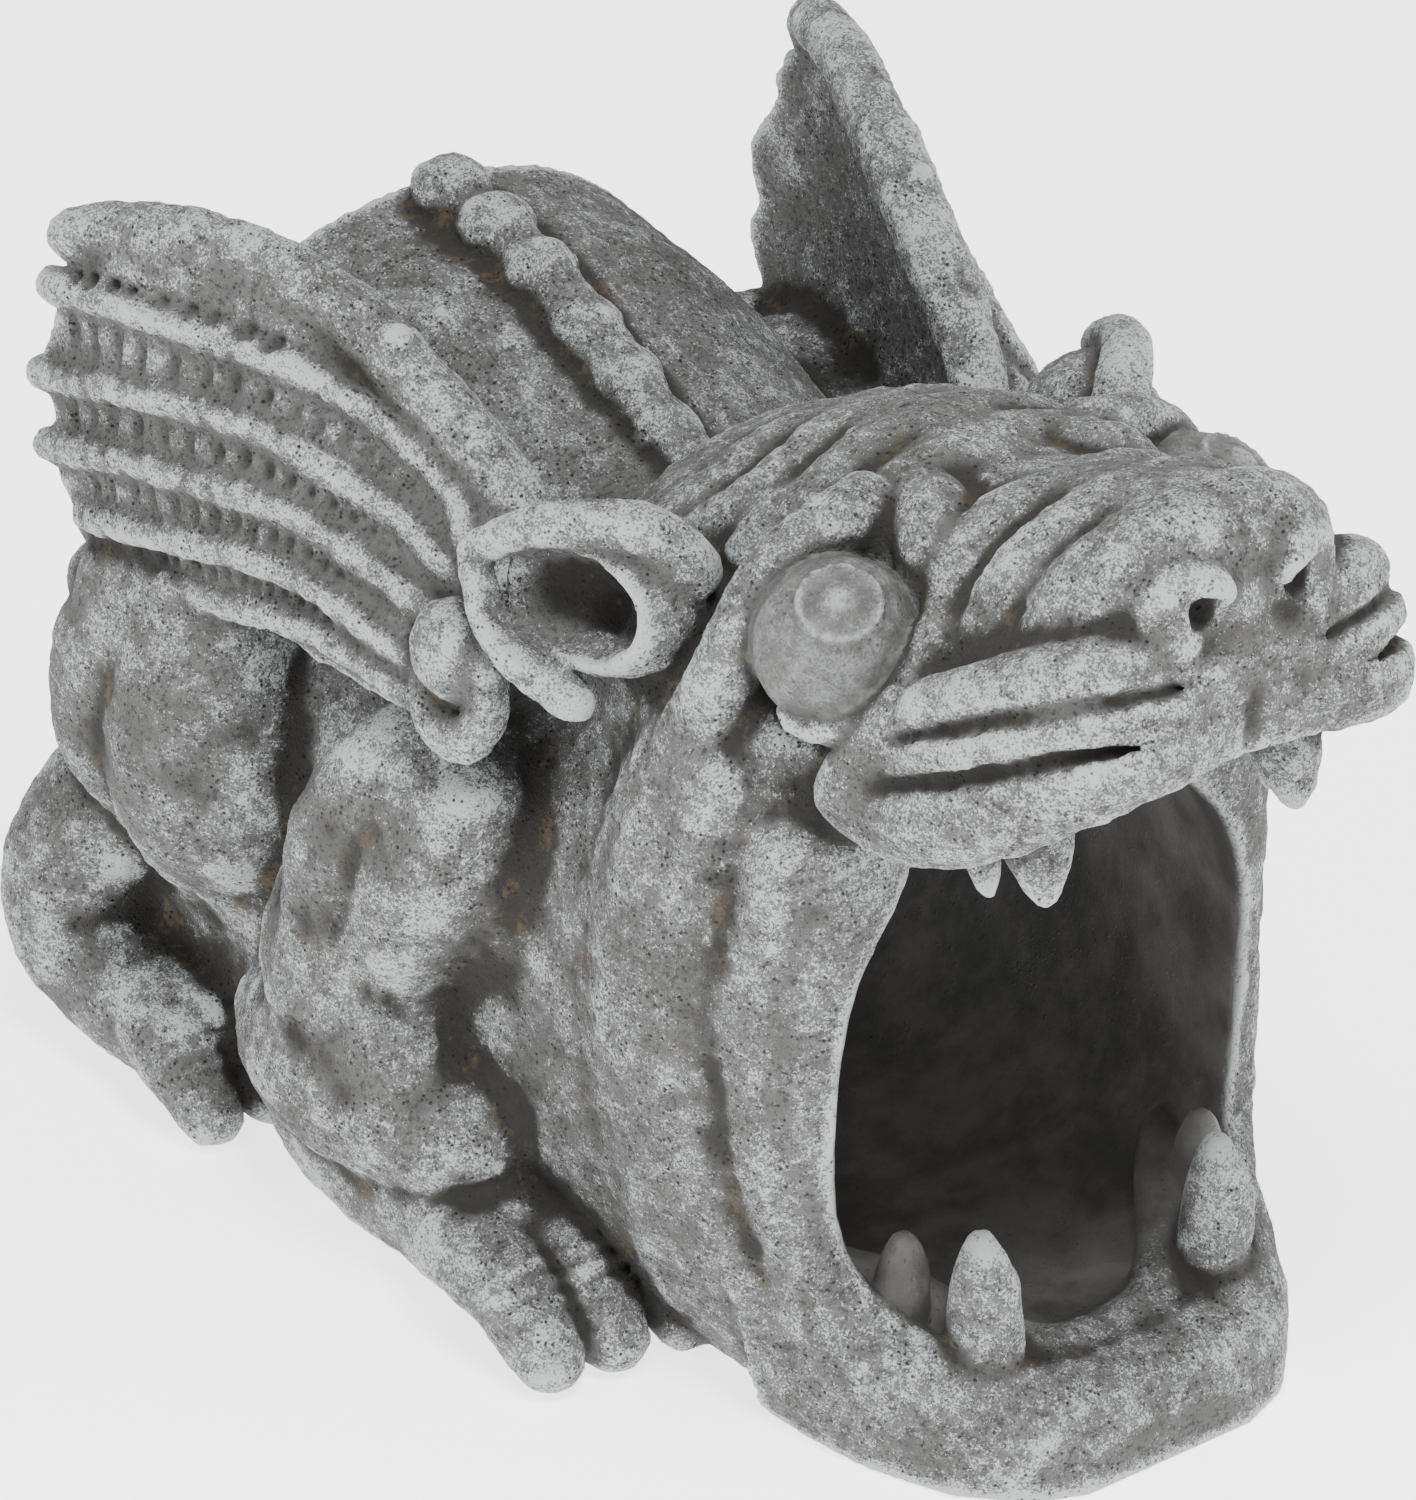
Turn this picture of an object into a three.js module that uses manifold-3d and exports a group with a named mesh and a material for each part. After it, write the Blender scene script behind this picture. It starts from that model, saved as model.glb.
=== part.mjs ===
// Hollow cast-stone gargoyle that sits over the foot of a downspout and spouts the water out of its mouth.
// One casting, so one closed solid: body shell with a duct through it from the mouth to the open back.
// Millimetres, +Z up.  y runs back from the front of the chin, z up from the ground, x out from the middle.

import * as THREE from 'three';
import { mergeVertices } from 'three/addons/utils/BufferGeometryUtils.js';
import Module from 'manifold-3d';

const wasm = await Module();
wasm.setup();

// ---------------------------------------------------------------- driving dimensions

// Body shell from the corners of the mouth back: y, half width, crown, low end of the oval, squareness.
// The oval's low end lies under the ground, so the sides draw in towards the feet.
const SHELL = [
  [48, 70, 170, -16, 3.0], [62, 78, 183, -16, 3.0], [88, 88, 190, -16, 2.7], [125, 90, 188, -22, 2.5],
  [168, 91, 184, -40, 2.4], [208, 95, 198, -60, 2.4], [252, 99, 217, -70, 2.4], [304, 100, 224, -75, 2.4],
];
// Lower jaw: the same four sizes from the chin back to the cheeks.
const JAW = [
  [-13, 26, 16, -10, 3.2], [-8, 40, 23, -10, 3.2], [6, 54, 33, -14, 3.4], [26, 64, 46, -16, 3.4],
  [43, 70, 61, -16, 3.2], [60, 75, 74, -16, 3.0],
];
// Duct from the mouth to the back: y, half width, roof, floor, squareness.
const DUCT = [
  [-60, 56, 140, 30, 2.8], [-8, 57, 146, 28, 2.8], [22, 60, 153, 23, 2.8], [60, 64, 165, 18, 2.8],
  [100, 71, 170, 15, 2.6], [160, 78, 171, 13, 2.5], [250, 87, 202, 12, 2.5], [330, 88, 211, 12, 2.5],
];
// Snout: y, half width at the lips, top, underside, half width of the bridge.
const SNOUT = [
  [-28, 38, 232, 206, 14], [-22, 45, 241, 204, 18], [-12, 50, 252, 197, 22], [0, 54, 260, 188, 24],
  [18, 58, 253, 177, 26], [38, 62, 243, 169, 28], [62, 66, 236, 160, 32], [92, 67, 228, 150, 40],
];
const WING_THICK = 9;
const WING_TOP = [
  [66, 150, 200], [75, 185, 230], [84, 218, 248], [97, 251, 254], [108, 276, 252], [117, 290, 249],
];
const WING_FOOT = [[96, 138, 172], [99, 165, 162], [102, 205, 160], [106, 255, 150], [108, 300, 138]];
const WING_SCALLOP = 9;
const WING_RIBS = 5;
const BEADS = [
  [291, 226], [271, 223], [250, 218], [231, 210], [213, 203], [196, 195], [180, 189], [165, 186],
];
const BEAD_SIZE = [9.5, 10.5, 9];
const EYE = [54, 57, 214];
const EYE_RADIUS = 20.5;
const GAZE = new THREE.Vector3(0.33, -0.41, 0.85).normalize();

// ---------------------------------------------------------------- shaping

const parts = [];
const pairs = [];

// A three.js geometry as a boolean solid: only positions, with shared corners merged.
function solid(geometry) {
  geometry.deleteAttribute('normal');
  geometry.deleteAttribute('uv');
  const merged = mergeVertices(geometry, 1e-4);
  const vertProperties = merged.attributes.position.array;
  const triVerts = merged.index.array;
  return new wasm.Manifold(new wasm.Mesh({ numProp: 3, vertProperties, triVerts }));
}

// Egg: a sphere scaled to three radii, turned by degrees about x, y, z, and moved.
function egg([x, y, z], [rx, ry, rz], turn = [0, 0, 0], around = 10, down = 6) {
  const g = new THREE.SphereGeometry(1, around, down);
  g.scale(rx, ry, rz);
  g.applyMatrix4(new THREE.Matrix4().makeRotationFromEuler(
    new THREE.Euler(...turn.map(THREE.MathUtils.degToRad), 'ZYX'),
  ));
  g.translate(x, y, z);
  return solid(g);
}

// Smooth curve through a list of points.
function smooth(list) {
  const points = list.map((p) => new THREE.Vector3(...p));
  return new THREE.CatmullRomCurve3(points, false, 'centripetal');
}

// Roll: a round bar along a smooth curve through the points, its radius running through the given list,
// rounded at both ends.  It is a closed cylinder whose rings are carried to the curve's frames.
function roll(points, radii, rings = 6, sides = 6) {
  const curve = smooth(points);
  const frames = curve.computeFrenetFrames(rings, false);
  const g = new THREE.CylinderGeometry(1, 1, 1, sides, rings + 2, false);
  const p = g.attributes.position;
  const at = new THREE.Vector3();
  for (let i = 0; i < p.count; i += 1) {
    const level = Math.round((0.5 - p.getY(i)) * (rings + 2));
    const step = THREE.MathUtils.clamp(level - 1, 0, rings);
    const over = level - 1 - step;
    const t = step / rings;
    const spread = t * (radii.length - 1);
    const k = Math.min(Math.floor(spread), radii.length - 2);
    const r = THREE.MathUtils.lerp(radii[k], radii[k + 1], spread - k);
    const shrink = over === 0 ? 1 : 0.6;
    const push = 0.7 * over;
    curve.getPoint(t, at);
    at.addScaledVector(frames.normals[step], p.getX(i) * r * shrink);
    at.addScaledVector(frames.binormals[step], p.getZ(i) * r * shrink);
    at.addScaledVector(frames.tangents[step], push * r);
    p.setXYZ(i, at.x, at.y, at.z);
  }
  return solid(g);
}

// Loft along y: a closed cylinder whose rings become the outlines that the section gives for (angle, row).
function loft(rows, outline, sides) {
  const last = rows.length - 1;
  const g = new THREE.CylinderGeometry(1, 1, 1, sides, last, false);
  const p = g.attributes.position;
  for (let i = 0; i < p.count; i += 1) {
    const row = rows[Math.round((p.getY(i) + 0.5) * last)];
    const [x, z] = outline(p.getX(i), p.getZ(i), row);
    p.setXYZ(i, x, row[0], z);
  }
  return solid(g);
}

// A point of the unit circle pushed out to the superellipse |x|^n + |z|^n = 1.
function squared(cx, cz, n) {
  const size = (Math.abs(cx) ** n + Math.abs(cz) ** n) ** (1 / n);
  return size < 1e-9 ? [0, 0] : [(cx / size) * Math.hypot(cx, cz), (cz / size) * Math.hypot(cx, cz)];
}

// The outline of one oval section: half width, top, bottom and squareness.
function oval(cx, cz, [, half, top, bottom, n]) {
  const [x, z] = squared(cx, cz, n);
  return [x * half, (top + bottom) / 2 + z * (top - bottom) / 2];
}

// ---------------------------------------------------------------- body, head and jaw

parts.push(loft(SHELL, oval, 16));
parts.push(loft(JAW, oval, 14));
parts.push(loft(SNOUT, (cx, cz, [, lips, top, under, bridge]) => {
  const [x, z] = squared(cx, cz, 3);
  const taper = Math.max(0, (z + 0.3) / 1.3) ** 1.3;
  return [x * THREE.MathUtils.lerp(lips, bridge, taper), (top + under) / 2 + z * (top - under) / 2];
}, 14));
parts.push(egg([0, 112, 180], [71, 67, 53], [0, 0, 0], 12, 6));
parts.push(roll([[0, 0, 243], [0, 44, 221], [0, 90, 213], [0, 124, 200]], [20, 25, 28, 26], 4, 8));
parts.push(egg([0, -6, 247], [27, 18, 16], [20, 0, 0], 8, 5));
pairs.push(egg([17, -12, 246], [12, 12, 12], [0, 0, 0], 6, 4));

// Whisker pads: three ridges a side, the lowest of them the rolled upper lip.
pairs.push(roll([[57, 26, 211], [53, 6, 221], [44, -9, 230], [14, -17, 231]], [4, 6, 6.5, 5], 3, 5));
pairs.push(roll([[59, 28, 200], [55, 5, 211], [45, -13, 221], [14, -18, 222]], [6.5, 7.5, 8, 6], 4, 5));
pairs.push(roll(
  [[58, 40, 181], [56, 16, 188], [51, -3, 199], [42, -18, 210], [0, -18, 212]],
  [9, 10.5, 10, 9, 6], 5, 5,
));

// Eyes under rolled brows that curl in to a scroll, with a raised iris and pupil.
pairs.push(egg([57, 84, 186], [18, 32, 24], [0, 0, 0], 8, 5));
pairs.push(egg(EYE, [EYE_RADIUS, EYE_RADIUS, EYE_RADIUS], [0, 0, 0], 9, 6));
const iris = new THREE.Vector3(...EYE).addScaledVector(GAZE, EYE_RADIUS - 1.5);
const pupil = new THREE.Vector3(...EYE).addScaledVector(GAZE, EYE_RADIUS + 0.5);
pairs.push(egg(iris.toArray(), [9, 3.5, 9], [-58, 0, 39], 9, 4));
pairs.push(egg(pupil.toArray(), [5, 3, 5], [-58, 0, 39], 7, 4));
pairs.push(roll(
  [[33, 75, 236], [48, 80, 231], [62, 86, 217], [70, 91, 191], [71, 90, 178]],
  [9, 7, 7, 7, 6.5], 5, 5,
));
pairs.push(roll([[22, 64, 238], [26, 55, 237], [34, 42, 225]], [8, 9.5, 6], 2, 5));
pairs.push(roll([[36, 37, 228], [52, 32, 213], [64, 38, 193], [68, 52, 181]], [4, 4, 6, 7], 2, 5));

// Cheek folds round the corner of the mouth.
pairs.push(roll([[54, 62, 160], [56, 64, 110], [50, 60, 60], [42, 52, 34]], [20, 22, 20, 16], 2, 6));
pairs.push(roll([[60, 86, 168], [63, 90, 112], [58, 84, 58], [48, 70, 26]], [21, 23, 21, 15], 2, 6));
pairs.push(roll(
  [[72, 56, 164], [75, 60, 132], [75, 60, 98], [71, 54, 64], [60, 43, 30]],
  [6, 6, 6, 6, 6], 4, 5,
));
pairs.push(roll(
  [[81, 84, 174], [85, 90, 140], [86, 90, 102], [81, 82, 60], [68, 66, 21]],
  [5, 5, 5, 5, 5], 4, 4,
));

// ---------------------------------------------------------------- ears

pairs.push(egg([80, 118, 204], [16, 22, 14], [0, 0, -40], 7, 5));
pairs.push(roll([[64, 108, 214], [80, 124, 222], [98, 144, 218]], [10, 8, 3], 2, 6));
pairs.push(roll([[98, 144, 218], [97, 128, 200], [93, 108, 190], [80, 104, 190]], [3, 6, 7, 9], 3, 6));

// ---------------------------------------------------------------- wings

// One wing: a closed box grid carried onto the fan between its top and foot curves, its outer face
// raised along the ribs and its rear edge scalloped between them.
const wingTop = smooth(WING_TOP);
const wingFoot = smooth(WING_FOOT);
const wingGrid = new THREE.BoxGeometry(1, 1, 1, 1, 4, WING_RIBS * 2);
const wingPoint = wingGrid.attributes.position;
for (let i = 0; i < wingPoint.count; i += 1) {
  const side = wingPoint.getX(i);
  const down = 0.5 - wingPoint.getZ(i);
  const rib = 0.5 + 0.5 * Math.cos(down * WING_RIBS * 2 * Math.PI);
  const back = wingPoint.getY(i) + 0.5;
  const a = wingTop.getPoint(back);
  a.lerp(wingFoot.getPoint(back), down);
  a.y += back ** 4 * WING_SCALLOP * rib * Math.sin(Math.PI * Math.min(1, down * 2 + 0.2));
  a.x += 5 * Math.sin(Math.PI * down) * back + (side > 0 ? WING_THICK / 2 + 2.5 * rib : -WING_THICK / 2);
  wingPoint.setXYZ(i, a.x, a.y, a.z);
}
pairs.push(solid(wingGrid));
pairs.push(roll(WING_TOP.map(([x, y, z]) => [x, y - 1, z - 2]), [6, 7, 7, 7, 6, 5], 6, 5));
pairs.push(egg([101, 146, 182], [14, 19, 22], [0, 0, 0], 7, 5));

// ---------------------------------------------------------------- spine

for (const [y, z] of BEADS) {
  parts.push(egg([0, y, z], BEAD_SIZE, [20, 0, 0], 6, 4));
}

// ---------------------------------------------------------------- legs

// Hind leg folded under: thigh, hock and foot, two toes showing.
pairs.push(egg([96, 268, 114], [25, 44, 56], [0, 0, 0], 8, 6));
pairs.push(roll([[98, 300, 70], [108, 316, 50], [110, 308, 26], [106, 270, 21]], [18, 20, 19, 15], 3, 7));
for (const x of [112, 96]) {
  pairs.push(roll([[x, 264, 24], [x, 246, 11]], [11, 9], 1, 5));
}

// Fore leg: shoulder, upper arm, forearm and paw with three toes.
pairs.push(egg([92, 168, 118], [24, 32, 38], [0, 0, 0], 8, 5));
pairs.push(egg([96, 192, 72], [26, 36, 44], [0, 0, 0], 8, 5));
pairs.push(roll([[92, 222, 34], [100, 186, 44], [96, 150, 42]], [22, 24, 18], 2, 6));
pairs.push(roll([[90, 220, 20], [93, 186, 20], [94, 150, 22], [95, 128, 20]], [18, 19, 18, 15], 2, 6));
for (const [x, y] of [[107, 101], [93, 93], [74, 91]]) {
  pairs.push(roll([[x, y + 30, 24], [x, y + 12, 20], [x, y, 9]], [10, 11, 9], 2, 5));
}

// ---------------------------------------------------------------- join, hollow, teeth

// A solid seen in a mirror on the plane x = 0: x changes sign and each triangle is turned round.
function mirrored(shape) {
  const { vertProperties, triVerts } = shape.getMesh();
  const flipped = { numProp: 3, vertProperties: vertProperties.slice(), triVerts: triVerts.slice() };
  for (let i = 0; i < flipped.vertProperties.length; i += 3) {
    flipped.vertProperties[i] *= -1;
  }
  for (let i = 0; i < flipped.triVerts.length; i += 3) {
    flipped.triVerts[i] = triVerts[i + 1];
    flipped.triVerts[i + 1] = triVerts[i];
  }
  return new wasm.Manifold(new wasm.Mesh(flipped));
}

const both = (list) => {
  const half = list.reduce((a, b) => a.add(b));
  return half.add(mirrored(half));
};

let casting = parts.reduce((a, b) => a.add(b)).add(both(pairs));
casting = casting.subtract(loft(DUCT, oval, 16));

// Inside the mouth: the raised edge of the trough-shaped tongue, two lower teeth and two fangs a side.
const mouth = [
  roll(
    [[0, 14, 18], [18, 16, 21], [32, 28, 28], [43, 44, 36], [54, 58, 42]],
    [6, 6, 5.5, 5, 3], 4, 5,
  ),
  roll([[37, 10, 192], [38, 2, 180], [38, -2, 168]], [9, 7.5, 2], 2, 5),
  roll([[46, 22, 184], [44, 16, 176], [43, 13, 164]], [7, 5, 1.5], 2, 5),
  roll([[36, 16, 26], [37, 16, 48], [37, 18, 62]], [9, 8, 3], 2, 5),
  roll([[48, 36, 30], [47, 35, 46], [47, 35, 56]], [7, 6, 3], 2, 5),
];
casting = casting.add(both(mouth));

// Nostrils, and the flat underside that it stands on.
casting = casting.subtract(both([egg([13, -24, 245], [5, 7, 5], [0, 0, 0], 6, 4)]));
const ground = new THREE.BoxGeometry(400, 600, 100);
ground.translate(0, 150, -50);
casting = casting.subtract(solid(ground));

const { vertProperties, triVerts } = casting.getMesh();
const geometry = new THREE.BufferGeometry();
geometry.setAttribute('position', new THREE.BufferAttribute(vertProperties, 3));
geometry.setIndex(new THREE.BufferAttribute(triVerts, 1));
geometry.computeVertexNormals();
geometry.computeBoundingBox();
const middle = geometry.boundingBox.getCenter(new THREE.Vector3());

const stone = new THREE.MeshStandardMaterial({ color: 0x83888c, roughness: 0.92, metalness: 0 });
const gargoyle = new THREE.Mesh(geometry, stone);
gargoyle.name = 'gargoyle';
gargoyle.position.set(0, -middle.y, 0);

const group = new THREE.Group();
group.add(gargoyle);
export default group;
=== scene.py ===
"""Cast-stone downspout gargoyle, modelled as one lump of clay and skinned.

The clay is a signed distance field: at each point of a grid, how far it lies outside the nearest surface,
negative inside.  An egg, a rounded roll along a smooth path or a lofted tub each has such a distance.  Where
two meet they run together over a blend width k: the lesser of the two, less a fillet of (k - |a - b|)^2 / 4k.
Cutting is the same on the negated field.  The animal's two sides match, so the grid covers x >= 0 only, and
is mirrored before it is skinned.
Clay sizes are millimetres: x out from the middle, y back from the chin, z up from the ground.
"""

import bpy
import numpy as np
from mathutils import Matrix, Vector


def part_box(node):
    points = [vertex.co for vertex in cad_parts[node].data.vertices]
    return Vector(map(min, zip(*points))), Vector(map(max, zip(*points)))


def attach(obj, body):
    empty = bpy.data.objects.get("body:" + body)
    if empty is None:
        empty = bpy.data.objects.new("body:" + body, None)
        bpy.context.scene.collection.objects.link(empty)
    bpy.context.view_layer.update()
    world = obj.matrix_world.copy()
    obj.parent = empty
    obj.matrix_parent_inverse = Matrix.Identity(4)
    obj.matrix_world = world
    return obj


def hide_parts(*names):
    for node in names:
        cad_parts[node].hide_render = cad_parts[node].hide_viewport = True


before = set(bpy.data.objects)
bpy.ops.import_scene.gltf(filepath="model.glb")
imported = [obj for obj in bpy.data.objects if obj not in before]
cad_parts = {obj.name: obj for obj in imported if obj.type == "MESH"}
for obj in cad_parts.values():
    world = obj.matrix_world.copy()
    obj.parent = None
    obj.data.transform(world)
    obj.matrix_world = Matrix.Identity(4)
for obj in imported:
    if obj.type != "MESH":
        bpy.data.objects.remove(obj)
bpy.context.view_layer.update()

# ---------------------------------------------------------------------------------------- body shell
# The trunk of the casting: a thick-walled stone barrel on a flat belly, arched like a low roof over the
# duct.  It is cast hollow, and its skin is one smooth grainy sweep from the cheeks to the open back.

STEP = 1.3
AIR = 40.0  # field value of a grid point that no shape has come near


class Clay:
    """A block of field values on a regular grid, started far outside everything."""

    def __init__(self, low, high, step):
        self.axis = [np.arange(a, b + step, step, dtype=np.float32) for a, b in zip(low, high)]
        self.value = np.full([len(a) for a in self.axis], AIR, np.float32)

    def work(self, shape, low, high, blend, cut=False):
        """Adds shape(x, y, z), or cuts it away, inside the box low..high with room for the blend.

        With a the field and b the shape, both negated for a cut, the new field is
        min(a, b) - (blend - |a - b|)^2 / 4 blend wherever the two lie closer than the blend.
        """
        part = []
        spot = []
        for i in range(3):
            a, b = np.searchsorted(self.axis[i], [low[i] - blend - 3, high[i] + blend + 3])
            part.append(slice(a, b))
            spot.append(self.axis[i][a:b].reshape([-1 if j == i else 1 for j in range(3)]))
        old = self.value[tuple(part)]
        if not old.size:
            return
        sign = -1 if cut else 1
        new = shape(*spot).astype(np.float32)
        fillet = np.maximum(blend - np.abs(sign * old - new), 0) ** 2 / (4 * blend)
        self.value[tuple(part)] = sign * (np.minimum(sign * old, new) - fillet)


def tub(stations):
    """Loft along y through stations (y, half width, top, bottom, n).

    At each y the section is the oval |x / half|^n + |(z - mid) / tall|^n = 1 from its bottom to its top.
    With reach the n-th root of that sum, the distance is about (reach - 1) times the smaller of half and tall.
    """
    rows = np.array(stations, np.float32).T

    def distance(x, y, z):
        half, top, bottom, power = [np.interp(y, rows[0], row) for row in rows[1:5]]
        mid, tall = (top + bottom) / 2, (top - bottom) / 2
        reach = ((np.abs(x) / half) ** power + (np.abs(z - mid) / tall) ** power) ** (1 / power)
        ends = np.maximum(rows[0][0] - y, y - rows[0][-1])
        return np.maximum((reach - 1) * np.minimum(half, tall), ends)
    return distance


def egg(clay, centre, radii, turn=(0, 0, 0), blend=8, cut=False):
    """Ellipsoid: with p in radii and q in squared radii, the distance is about |p| (|p| - 1) / |q|."""
    cx, cy, cz = np.radians(turn)
    spin = (np.array([[np.cos(cz), -np.sin(cz), 0], [np.sin(cz), np.cos(cz), 0], [0, 0, 1]])
            @ np.array([[np.cos(cy), 0, np.sin(cy)], [0, 1, 0], [-np.sin(cy), 0, np.cos(cy)]])
            @ np.array([[1, 0, 0], [0, np.cos(cx), -np.sin(cx)], [0, np.sin(cx), np.cos(cx)]]))
    centre, radii = np.array(centre, float), np.array(radii, float)
    reach = np.sqrt(((spin * radii) ** 2).sum(1))

    def distance(x, y, z):
        off = [x - centre[0], y - centre[1], z - centre[2]]
        own = [spin[0, i] * off[0] + spin[1, i] * off[1] + spin[2, i] * off[2] for i in range(3)]
        p = np.sqrt(sum((own[i] / radii[i]) ** 2 for i in range(3)))
        q = np.sqrt(sum((own[i] / radii[i] ** 2) ** 2 for i in range(3)))
        return p * (p - 1) / np.maximum(q, 1e-6)
    clay.work(distance, centre - reach, centre + reach, blend, cut)


def smooth(points, parts=6):
    """Catmull-Rom curve: between points b and c of a, b, c, d the cubic that leaves b along (c - a) / 2."""
    p = np.array(points, float)
    if len(p) < 3:
        t = np.linspace(0, 1, parts + 1)[:, None]
        return p[0] * (1 - t) + p[-1] * t
    p = np.vstack([2 * p[0] - p[1], p, 2 * p[-1] - p[-2]])
    t = np.linspace(0, 1, parts, endpoint=False)[:, None]
    spans = [
        0.5 * (2 * b + (c - a) * t + (2 * a - 5 * b + 4 * c - d) * t ** 2 + (3 * b - a - 3 * c + d) * t ** 3)
        for a, b, c, d in zip(p, p[1:], p[2:], p[3:])
    ]
    return np.vstack(spans + [p[-2:-1]])


def roll(clay, points, blend=5, cut=False, parts=6):
    """Rounded roll through (x, y, z, radius) points: the distance to the path, less the radius there."""
    path = smooth(points, parts)
    for a, b in zip(path, path[1:]):
        along = b - a
        length = max(float(along[:3] @ along[:3]), 1e-6)

        def distance(x, y, z, a=a, along=along, length=length):
            t = ((x - a[0]) * along[0] + (y - a[1]) * along[1] + (z - a[2]) * along[2]) / length
            t = np.clip(t, 0, 1)
            gap = sum((v - a[i] - t * along[i]) ** 2 for i, v in enumerate((x, y, z)))
            return np.sqrt(gap) - a[3] - t * along[3]
        wide = max(a[3], b[3])
        clay.work(distance, np.minimum(a, b)[:3] - wide, np.maximum(a, b)[:3] + wide, blend, cut)


clay = Clay((0, -48, -2 * STEP), (136, 350, 272), STEP)
SHELL = [
    (48, 70, 170, -16, 3.0), (62, 78, 183, -16, 3.0), (88, 88, 190, -16, 2.7),
    (125, 90, 188, -22, 2.5), (168, 91, 184, -40, 2.4), (208, 95, 198, -60, 2.4),
    (252, 99, 217, -70, 2.4), (304, 100, 224, -75, 2.4),
]
clay.work(tub(SHELL), (0, 44, -6), (110, 308, 230), 0.1)

# ---------------------------------------------------------------------------------------- head and snout
# A broad cat-like snout thrust up and forward over the open mouth, wrinkled on the bridge, with a bulbous
# nose.  The whisker pads are three long rolls a side; the lowest is the lip, which laps over the fangs.

SNOUT = [
    (-28, 38, 232, 206, 14), (-22, 45, 241, 204, 18), (-12, 50, 252, 197, 22), (0, 54, 260, 188, 24),
    (18, 58, 253, 177, 26), (38, 62, 243, 169, 28), (62, 66, 236, 160, 32), (92, 67, 228, 150, 40),
]


def snout(x, y, z):
    """Loft like the tub's with n = 3, through (y, half width at the lips, top, underside, half width on top).

    The half width goes from the lips' to the bridge's as rise^1.3 over the upper two thirds of the height.
    """
    rows = np.array(SNOUT, np.float32).T
    lips, top, under, bridge = [np.interp(y, rows[0], row) for row in rows[1:]]
    rise = np.clip(((z - under) / (top - under) - 0.35) / 0.65, 0, 1) ** 1.3
    half, tall = lips + (bridge - lips) * rise, (top - under) / 2
    reach = ((np.abs(x) / half) ** 3 + (np.abs(z - (top + under) / 2) / tall) ** 3) ** (1 / 3)
    ends = np.maximum(rows[0][0] - y, y - rows[0][-1])
    return np.maximum((reach - 1) * np.minimum(half, tall), ends)


egg(clay, (0, 112, 178), (71, 67, 51), blend=12)
clay.work(snout, (0, -36, 150), (75, 92, 268), 8)
roll(clay, [(0, 0, 241, 20), (0, 32, 222, 24), (0, 60, 212, 27), (0, 90, 212, 28), (0, 124, 198, 26)], 10)
# Whisker pads, then the creases pressed between them and the cleft under the nose.
roll(clay, [(57, 26, 211, 4), (53, 6, 221, 6), (44, -9, 230, 6.5), (30, -16, 233, 6), (14, -17, 231, 5)], 6)
roll(clay, [
    (59, 28, 200, 6.5), (55, 5, 211, 7.5), (45, -13, 221, 8), (30, -19, 224, 7.5), (14, -18, 222, 6),
], 5)
roll(clay, [
    (58, 40, 181, 9), (56, 16, 188, 10.5), (51, -3, 199, 10), (42, -18, 210, 9), (26, -22, 213, 8),
    (10, -19, 212, 6.5), (0, -17, 211, 5),
], 5)
CREASES = [
    [(65, 24, 207, 1), (61, 2, 219, 1.8), (51, -18, 229, 2), (30, -26, 230, 1.2), (14, -24, 227, 0.4)],
    [(67, 28, 193, 1), (63, 4, 205, 1.8), (53, -19, 217, 2), (32, -28, 219, 1.2), (14, -25, 217, 0.4)],
]
for crease in CREASES:
    roll(clay, crease, 1.6, True)
roll(clay, [(0, -31, 222, 1.5), (0, -28, 208, 1.5)], 4, True)
# The ball of the nose and its two lobes.
egg(clay, (0, -6, 247), (27, 18, 16), (20, 0, 0), 6)
egg(clay, (17, -12, 246), (12, 12, 12), blend=5)
# Nostrils, each with a curled wing round it.
roll(clay, [
    (10, -24, 249, 4), (15, -21, 253, 4), (22, -18, 250, 4.5), (24, -16, 242, 5), (19, -21, 237, 5),
], 2)
egg(clay, (14, -27, 245), (4.5, 8, 5), blend=1.5, cut=True)
# Wrinkles over the bridge and waves over the forehead.
for y, z in ((36, 240), (12, 248)):
    roll(clay, [(0, y, z, 8), (16, y + 2, z - 2, 8), (27, y + 5, z - 9, 8), (35, y + 10, z - 22, 6)], 7)
roll(clay, [(0, -12, 255, 7), (14, -8, 253, 8), (26, -3, 245, 8), (33, 2, 234, 6)], 7)
for y, z in ((70, 236), (88, 234), (106, 228), (124, 219)):
    wave = [(0, y, z - 1, 6), (14, y + 4, z - 1, 6.5), (30, y + 3, z - 6, 6), (46, y + 12, z - 18, 5)]
    roll(clay, wave, 8)

# ---------------------------------------------------------------------------------------- eyes and brows
# Round bulging eyes set in deep sockets, each with a raised iris ring and pupil, a thin lower lid and a
# heavy brow that rolls over it and curls up into a scroll beside the bridge.

EYE = np.array([54, 57, 214.0])
EYEBALL = 20.5
SOCKET = 24
GAZE = np.array([0.33, -0.41, 0.85])
GAZE /= np.linalg.norm(GAZE)
egg(clay, (52, 86, 184), (17, 28, 21), blend=10)
egg(clay, EYE, (SOCKET, SOCKET, SOCKET), blend=4, cut=True)
# The brow, hugging the ball from the bridge round to the cheek, and its scroll.
roll(clay, [
    (33, 71, 233, 8), (40, 72, 235, 8.5), (49, 73, 233, 8), (58, 75, 226, 8), (65, 76, 217, 8),
    (70, 77, 206, 8), (72, 81, 194, 8), (72, 85, 183, 8), (73, 76, 174, 6.5),
], 1)
egg(clay, (34, 73, 235), (9.5, 9, 10), blend=1.5)
egg(clay, (31, 64, 228), (9, 10, 8), blend=3)
egg(clay, (34, 92, 218), (14, 20, 14), blend=4)
roll(clay, [(22, 66, 236, 9), (26, 57, 235, 10.5), (30, 49, 230, 9.5), (34, 43, 224, 6)], 2)
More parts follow.
